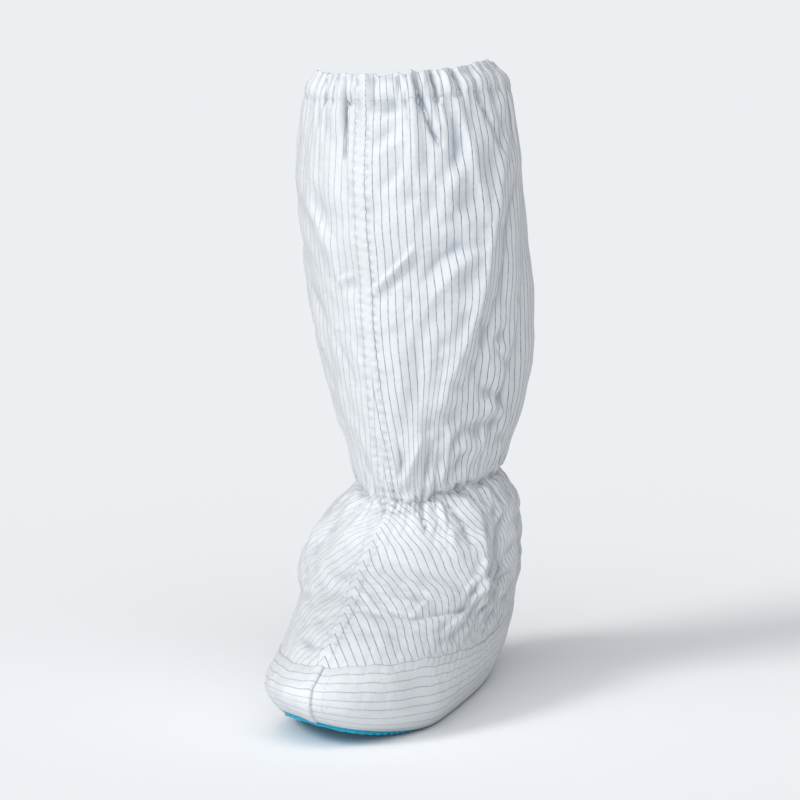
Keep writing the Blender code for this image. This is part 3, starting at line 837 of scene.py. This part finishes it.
def addBand():
    base, place = bandForm()
    # two more columns at the inner end: the lap itself, and the lap's turned-down edge
    base = np.concatenate([base, base[:, 1:2] * 0.97 + base[:, 2:3] * 0.03,
                           base[:, 1:2] * 0.94 + base[:, 2:3] * 0.06], axis=1)
    place = np.concatenate([place[:-1], [-0.1, 0, 0]])
    upward = np.gradient(base, axis=0)
    normal = facingOut(unit(np.cross(np.gradient(base, axis=1), upward)), base)
    wave = bandWave(base, place)
    rows = len(base)
    toeDrop, sideDrop = bandCloth["toeDrop"], bandCloth["sideDrop"]
    drop = toeDrop + (sideDrop - toeDrop) * smoothStep(25, 90, np.abs(place))
    base[:, :, 2] -= drop * (1 - smoothStep(0, 0.3, np.linspace(0, 1, rows)[:, None])) * mm
    far = base + normal * ((bandCloth["gap"] + bandCloth["thickness"] + wave) * mm)[:, :, None]
    near = base + normal * ((bandCloth["gap"] + np.clip(wave, -0.4, 0.2) * 0.5) * mm)[:, :, None]
    # over the top edge in a small round, and back down the inside
    crown = overEdge(far[-1], near[-1], unit(upward[-1]), bandCloth["thickness"] / 2 * mm, (0.25, 0.5, 0.75))
    points = np.concatenate([far, crown, near[::-4], near[:1], far[:1]])
    down = np.concatenate([[0], np.cumsum(np.linalg.norm(np.diff(base, axis=0), axis=2).mean(axis=1))])
    fall = np.concatenate([down, down[-1] + np.array([0.3, 0.6, 0.9]) * mm, down[::-4], down[:1], down[:1]])
    length = runAlong(base[rows // 2])

    def corner(row, column, firstColumn):
        return np.stack([length[column], down[-1] - fall[row]], axis=1)

    # painted shade in the band's creases, by how deep they lie
    depth = np.zeros(points.shape[:2])
    depth[:rows] = troughDepth(wave, 3)
    piece = gridPiece("bandCloth", points, corner, {"paintedCreaseShade": depth, "stripeShow": np.ones(points.shape[:2])})
    # the lower edge and the two ends are closed
    onWholeMesh(bpy.ops.mesh.remove_doubles, threshold=0.000005)
    onWholeMesh(bpy.ops.mesh.fill_holes, sides=0)
    turnOutward()
    return piece, far, normal, place


band, bandSkin, bandNormals, bandPlace = addBand()
print("band", len(band.data.polygons), "faces")

# Stitches, in millimetres
stitchThread = {
    "width": 0.46,
    "height": 0.34,
    "lift": 0.06,
    "seam": (2.9, 2.0),        # pitch and length
    "hem": (3.0, 2.1),
    "ankle": (3.2, 2.2),
    "shaded": (0.58, 0.61, 0.65, 1),
    "lit": (0.72, 0.74, 0.78, 1),
}


def stitchSpots(path, normal, pitch, length):
    # places, directions and normals of stitches along a line on the cloth
    run = runAlong(path)
    at = np.arange(pitch / 2, run[-1] / mm - pitch / 2, pitch) * mm
    middle = placeOn(path, run, at)
    ahead = placeOn(path, run, at + length / 2 * mm) - placeOn(path, run, at - length / 2 * mm)
    return middle, unit(ahead), unit(placeOn(normal, run, at))


def addStitches(name, rows):
    # one stitch is modelled, and its points are copied along every row
    deselectAll()
    bpy.ops.mesh.primitive_uv_sphere_add(segments=6, ring_count=4, radius=0.5)
    piece = bpy.context.object
    piece.name = piece.data.name = name
    onWholeMesh(bpy.ops.transform.rotate, value=math.pi / 2, orient_axis="Y", center_override=(0, 0, 0))
    corners = np.array([vertex.co[:] for vertex in piece.data.vertices])
    corners = np.sign(corners) * np.abs(corners * 2) ** np.array([0.7, 1, 1]) / 2
    faces = [list(face.vertices) for face in piece.data.polygons]
    points, allFaces = [], []
    for path, normal, (pitch, length) in rows:
        middle, ahead, out = stitchSpots(path, normal, pitch, length)
        side = unit(np.cross(out, ahead))
        for place, a, s, o in zip(middle, ahead, side, out):
            start = len(points) * len(corners)
            points.append(place + o * stitchThread["lift"] * mm + corners[:, :1] * a * length * mm
                          + corners[:, 1:2] * s * stitchThread["width"] * mm
                          + corners[:, 2:] * o * stitchThread["height"] * mm)
            allFaces.extend([[corner + start for corner in face] for face in faces])
    mesh = bpy.data.meshes.new(name)
    mesh.from_pydata(np.concatenate(points).tolist(), [], allFaces)
    mesh.update()
    piece.data = mesh
    turnOutward()
    return piece


def upperStitchRows():
    shown = fromBand[:, middleColumn] > 1.5
    rows = [(skin[shown, column], skinNormals[shown, column], stitchThread["seam"])
            for column in (middleColumn + 3, middleColumn - 3, 3, skin.shape[1] - 4)]
    for line, offsets, kind in (("hemLine", (0,), "hem"), ("ankle", (-1, 2), "ankle")):
        for row in np.searchsorted(levels, levelOf[line]) + np.array(offsets):
            rows.append((skin[row], skinNormals[row], stitchThread[kind]))
    return rows


def bandStitchRows():
    rows = [(bandSkin[row], bandNormals[row], stitchThread["seam"]) for row in (-3, 9)]
    for at in (1.6, 7.6):
        column = int(np.argmin(np.abs(bandPlace - at)))
        rows.append((bandSkin[1:-1, column], bandNormals[1:-1, column], stitchThread["seam"]))
    return rows


upperStitches = addStitches("upperStitches", upperStitchRows())
bandStitches = addStitches("bandStitches", bandStitchRows())
print("stitches", len(upperStitches.data.polygons), len(bandStitches.data.polygons), "faces")


# Materials
def newMaterial(name):
    material = bpy.data.materials.new(name)
    material.use_nodes = True
    return material, material.node_tree, material.node_tree.nodes["Principled BSDF"]


def feed(tree, node, inputs):
    # each input is linked to another node's output, or set
    for name, value in inputs.items():
        if isinstance(value, bpy.types.NodeSocket):
            tree.links.new(value, node.inputs[name])
        else:
            node.inputs[name].default_value = value


def addNode(tree, kind, inputs, **settings):
    node = tree.nodes.new("ShaderNode" + kind)
    for name, value in settings.items():
        setattr(node, name, value)
    feed(tree, node, inputs)
    return node.outputs


def mathNode(tree, operation, *values):
    return addNode(tree, "Math", dict(enumerate(values)), operation=operation)[0]


def noiseNode(tree, vector, scale, detail, rough=0.5):
    inputs = {"Vector": vector, "Scale": scale, "Detail": detail, "Roughness": rough}
    return addNode(tree, "TexNoise", inputs)["Fac"]


def rampNode(tree, value, fromLow, fromHigh, toLow, toHigh):
    inputs = {"Value": value, "From Min": fromLow, "From Max": fromHigh, "To Min": toLow, "To Max": toHigh}
    return addNode(tree, "MapRange", inputs, interpolation_type="SMOOTHSTEP")[0]


def mixNode(tree, factor, first, second, blend="MIX"):
    inputs = {"Factor": factor, "A": first, "B": second}
    return addNode(tree, "Mix", inputs, data_type="RGBA", blend_type=blend)["Result"]


def bumpNode(tree, height, strength, distance):
    return addNode(tree, "Bump", {"Strength": strength, "Distance": distance, "Height": height})[0]


def objectPlace(tree):
    return addNode(tree, "TexCoord", {})["Object"]


def newGroup(name, inputs, outputs):
    # a shader node group with the named sockets, its input and its output node
    tree = bpy.data.node_groups.new(name, "ShaderNodeTree")
    for way, sockets in (("INPUT", inputs), ("OUTPUT", outputs)):
        for socket, kind in sockets.items():
            tree.interface.new_socket(name=socket, in_out=way, socket_type="NodeSocket" + kind)
    return tree, tree.nodes.new("NodeGroupInput").outputs, tree.nodes.new("NodeGroupOutput")


stripedCloth = {
    "white": (0.675, 0.69, 0.707, 1),
    "stripe": (0.12, 0.15, 0.26, 1),
    # colour and share of the painted shade in the creases
    "shade": (0.30, 0.33, 0.38, 1),
    "shadeShare": 0.72,
    "pitch": 5.0 * mm,
    "width": 0.62 * mm,
    "thread": 0.5 * mm,        # weave pitch
    "roughness": 0.62,
}


def stripeGroup():
    # woven stripes across the given length, uneven like spun yarn
    tree, entry, result = newGroup("wovenStripe", {"Along": "Float", "Place": "Vector"}, {"Mask": "Float"})
    drift = mathNode(tree, "MULTIPLY_ADD", noiseNode(tree, entry["Place"], 28, 2), 0.0022, -0.0011)
    place = mathNode(tree, "ADD", entry["Along"], drift)
    phase = mathNode(tree, "PINGPONG", place, stripedCloth["pitch"] / 2)
    line = rampNode(tree, phase, stripedCloth["width"] * 0.2, stripedCloth["width"] * 0.75, 1, 0)
    uneven = rampNode(tree, noiseNode(tree, entry["Place"], 420, 2), 0.3, 0.7, 0.5, 0.85)
    feed(tree, result, {"Mask": mathNode(tree, "MULTIPLY", line, uneven)})
    return tree


def weaveGroup():
    # crumple and weave height, and the cloth's uneven roughness and tone
    tree, entry, result = newGroup("wovenSurface", {"Cloth": "Vector", "Place": "Vector"},
                                   {"Height": "Float", "Roughness": "Float", "Tone": "Float"})
    place = entry["Place"]

    def fromMiddle(scale, detail, rough):
        noise = mathNode(tree, "SUBTRACT", noiseNode(tree, place, scale, detail, rough), 0.5)
        return mathNode(tree, "ABSOLUTE", noise)

    threads = addNode(tree, "SeparateXYZ", {0: entry["Cloth"]})
    warp = mathNode(tree, "PINGPONG", threads[0], stripedCloth["thread"] / 2)
    weft = mathNode(tree, "PINGPONG", threads[1], stripedCloth["thread"] / 2)
    height = mathNode(tree, "MULTIPLY", mathNode(tree, "ADD", warp, weft), 0.25)
    height = mathNode(tree, "MULTIPLY_ADD", noiseNode(tree, place, 95, 5, 0.55), 0.0009, height)
    height = mathNode(tree, "MULTIPLY_ADD", fromMiddle(60, 3, 0.6), 0.0028, height)
    # long thin creases lie where this noise crosses its middle
    folded = rampNode(tree, fromMiddle(21, 2, 0.45), 0, 0.05, 1, 0)
    height = mathNode(tree, "MULTIPLY_ADD", folded, 0.0005, height)
    patchy = noiseNode(tree, place, 22, 3)
    rough = mathNode(tree, "MULTIPLY_ADD", patchy, 0.16, stripedCloth["roughness"] - 0.08)
    tone = mathNode(tree, "MULTIPLY_ADD", patchy, 0.10, 0.95)
    feed(tree, result, {"Height": height, "Roughness": rough, "Tone": tone})
    return tree


stripeLines, clothWeave = stripeGroup(), weaveGroup()


def clothMaterial(name, stripeAxis, strength, litSideStripeShare, shadedBackStripeShare):
    material, tree, shader = newMaterial(name)
    cloth = addNode(tree, "UVMap", {})[0]
    place = objectPlace(tree)
    length = addNode(tree, "SeparateXYZ", {0: cloth})
    stripes = addNode(tree, "Group", {"Along": length[stripeAxis], "Place": place}, node_tree=stripeLines)
    weave = addNode(tree, "Group", {"Cloth": cloth, "Place": place}, node_tree=clothWeave)
    # painted light and shade: the inner panel's stripes are paler on its lit side, and the outer panel's are
    # darker towards the back, where it lies in shade
    shown = rampNode(tree, length[0], -0.06, 0.06, strength * litSideStripeShare, strength * shadedBackStripeShare)
    shown = mathNode(tree, "MULTIPLY", shown, rampNode(tree, length[0], 0.12, 0.22, 1, 1 / shadedBackStripeShare))
    stripeShow = addNode(tree, "Attribute", {}, attribute_name="stripeShow")["Fac"]
    shown = mathNode(tree, "MULTIPLY", shown, stripeShow)
    mask = mathNode(tree, "MULTIPLY", stripes["Mask"], shown)
    color = mixNode(tree, mask, stripedCloth["white"], stripedCloth["stripe"])
    # painted shade darkens the colour in the bottom of the creases
    paintedCreaseShade = addNode(tree, "Attribute", {}, attribute_name="paintedCreaseShade")["Fac"]
    dark = mathNode(tree, "MULTIPLY", paintedCreaseShade, stripedCloth["shadeShare"])
    color = mixNode(tree, dark, color, stripedCloth["shade"])
    tone = addNode(tree, "CombineColor", {channel: weave["Tone"] for channel in range(3)})[0]
    feed(tree, shader, {
        "Base Color": mixNode(tree, 1.0, color, tone, "MULTIPLY"),
        "Roughness": weave["Roughness"],
        "Sheen Weight": 0.1,
        "Specular IOR Level": 0.4,
        "Normal": bumpNode(tree, weave["Height"], 0.55, 1.0),
    })
    return material


def threadMaterial():
    material, tree, shader = newMaterial("whiteThread")
    plies = noiseNode(tree, objectPlace(tree), 900, 2)
    feed(tree, shader, {
        "Base Color": mixNode(tree, plies, stitchThread["shaded"], stitchThread["lit"]),
        "Roughness": 0.5,
        "Normal": bumpNode(tree, plies, 0.5, 0.0002),
    })
    return material


soleRubber = {"blue": (0.0, 0.35, 0.53, 1), "worn": (0.01, 0.46, 0.64, 1)}


def rubberMaterial():
    # moulded rubber with a fine pebbled grain, paler where it is worn
    material, tree, shader = newMaterial("blueSoleRubber")
    place = objectPlace(tree)
    patchy = noiseNode(tree, place, 60, 4)
    worn = rampNode(tree, patchy, 0.5, 0.75, 0, 0.45)
    feed(tree, shader, {
        "Base Color": mixNode(tree, worn, soleRubber["blue"], soleRubber["worn"]),
        "Roughness": mathNode(tree, "MULTIPLY_ADD", patchy, 0.3, 0.33),
        "Normal": bumpNode(tree, noiseNode(tree, place, 1500, 2), 0.4, 0.0003),
    })
    return material


insoleLining = {"clean": (0.74, 0.77, 0.81, 1), "pressed": (0.60, 0.64, 0.69, 1)}


def liningMaterial():
    # felted lining: short fibres, slightly grey where the foot has pressed
    material, tree, shader = newMaterial("insoleLining")
    place = objectPlace(tree)
    pressed = rampNode(tree, noiseNode(tree, place, 25, 2), 0.4, 0.7, 0, 1)
    feed(tree, shader, {
        "Base Color": mixNode(tree, pressed, insoleLining["clean"], insoleLining["pressed"]),
        "Roughness": 0.85,
        "Sheen Weight": 0.2,
        "Normal": bumpNode(tree, noiseNode(tree, place, 700, 4, 0.7), 0.5, 0.0004),
    })
    return material


def dress(piece, material):
    piece.data.materials.clear()
    piece.data.materials.append(material)


# the upper's stripes are paler on the lit inner side and darker at the shaded outer back: painted light and
# shade
dress(upper, clothMaterial("stripedUpperCloth", 0, 1.0, 0.6, 1.3))
dress(band, clothMaterial("stripedBandCloth", 1, 0.6, 1.0, 1.0))
thread = threadMaterial()
dress(upperStitches, thread)
dress(bandStitches, thread)
for node, material in (("outsole", rubberMaterial()), ("insole", liningMaterial())):
    dress(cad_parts[node], material)
print("materials", len(bpy.data.materials))

for piece, node, slot in ((upper, "upper", "upper_cloth"), (band, "band", "band_cloth")):
    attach(piece, "root")
    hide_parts(node)
for piece in (upperStitches, bandStitches):
    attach(piece, "root")

# Floor, light and camera
stageSetup = {
    "floorColor": (0.93, 0.935, 0.945, 1),
    "skyColor": (0.95, 0.975, 1.0),
    "skyBase": 0.02,           # even part of the sky
    "skyUp": 0.38,             # part that grows towards the top
    "skyFront": 1.82,          # part that grows towards the light side
    "skyPower": 2.0,
    "frontTurn": 6.0,          # degrees from straight in front of the toe, to the outer side
    "frontHeight": 22.0,
    "sunStrength": 1.26,
    "sunAngle": 20.0,
    "sunTurn": -36.0,
    "sunHeight": 36.0,
    "azimuth": 18.0,
    "distance": 1.712,
    "height": 0.3491,
    "pitch": 6.03,
    "lens": 138.4,
    "sensor": 36,
}


def lightDirection(turn, rise):
    turn, rise = math.radians(turn), math.radians(rise)
    return Vector((math.sin(turn) * math.cos(rise), -math.cos(turn) * math.cos(rise), math.sin(rise)))


def addFloor():
    deselectAll()
    bpy.ops.mesh.primitive_plane_add(size=60, location=(0, 0, 0))
    floor = bpy.context.object
    floor.name = "studioFloor"
    material, tree, shader = newMaterial("paleFloor")
    feed(tree, shader, {"Base Color": stageSetup["floorColor"], "Roughness": 0.95, "Specular IOR Level": 0})
    dress(floor, material)


def litFloor(towards):
    # the floor's colour under the sky and the sun, from evenly spread directions
    rise, turn = np.meshgrid((np.arange(60) + 0.5) / 60, np.arange(90) / 90 * 2 * math.pi)
    flat = np.sqrt(1 - rise)
    ways = np.stack([flat * np.cos(turn), flat * np.sin(turn), np.sqrt(rise)], axis=-1)
    front = np.maximum(ways @ np.array(towards), 0) ** stageSetup["skyPower"]
    sky = np.mean(stageSetup["skyBase"] + stageSetup["skyUp"] * ways[..., 2] + stageSetup["skyFront"] * front)
    sun = stageSetup["sunStrength"] / math.pi * math.sin(math.radians(stageSetup["sunHeight"]))
    colors = zip(stageSetup["floorColor"], stageSetup["skyColor"])
    return [paint * (sky * tint + sun) for paint, tint in colors]


def addSky():
    world = bpy.context.scene.world or bpy.data.worlds.new("studio")
    bpy.context.scene.world = world
    world.use_nodes = True
    tree = world.node_tree
    towards = lightDirection(stageSetup["frontTurn"], stageSetup["frontHeight"])
    direction = addNode(tree, "TexCoord", {})["Generated"]
    parts = []
    for way, share, power in ((towards, stageSetup["skyFront"], stageSetup["skyPower"]),
                              (Vector((0, 0, 1)), stageSetup["skyUp"], 1.0)):
        facing = addNode(tree, "VectorMath", {0: direction, 1: way}, operation="DOT_PRODUCT")["Value"]
        facing = mathNode(tree, "POWER", mathNode(tree, "MAXIMUM", facing, 0.0), power)
        parts.append(mathNode(tree, "MULTIPLY", facing, share))
    strength = mathNode(tree, "ADD", mathNode(tree, "ADD", *parts), stageSetup["skyBase"])
    sky = tree.nodes["Background"]
    feed(tree, sky, {"Color": (*stageSetup["skyColor"], 1), "Strength": strength})
    # behind the floor's far edge the backdrop has the lit floor's own tone
    backdrop = addNode(tree, "Background", {"Color": (*litFloor(towards), 1)})[0]
    seen = addNode(tree, "LightPath", {})["Is Camera Ray"]
    mix = addNode(tree, "MixShader", {"Fac": seen, 1: sky.outputs[0], 2: backdrop})[0]
    feed(tree, tree.nodes["World Output"], {"Surface": mix})
    bpy.context.scene.view_settings.view_transform = "Standard"


def addSun():
    deselectAll()
    bpy.ops.object.light_add(type="SUN", location=(-1, -1.5, 1.5))
    sun = bpy.context.object
    sun.name = "keyLight"
    sun.data.energy = stageSetup["sunStrength"]
    sun.data.angle = math.radians(stageSetup["sunAngle"])
    toLight = lightDirection(stageSetup["sunTurn"], stageSetup["sunHeight"])
    sun.rotation_euler = (-toLight).to_track_quat("-Z", "Y").to_euler()


def addCamera():
    turn = math.radians(stageSetup["azimuth"])
    place = np.array([math.sin(turn) * stageSetup["distance"], -math.cos(turn) * stageSetup["distance"],
                      stageSetup["height"]]) + shift
    deselectAll()
    bpy.ops.object.camera_add(location=place)
    camera = bpy.context.object
    camera.rotation_euler = (math.radians(90 - stageSetup["pitch"]), 0, turn)
    camera.data.lens = stageSetup["lens"]
    camera.data.sensor_width = stageSetup["sensor"]
    bpy.context.scene.camera = camera


addFloor()
addSky()
addSun()
addCamera()

print("stage set")
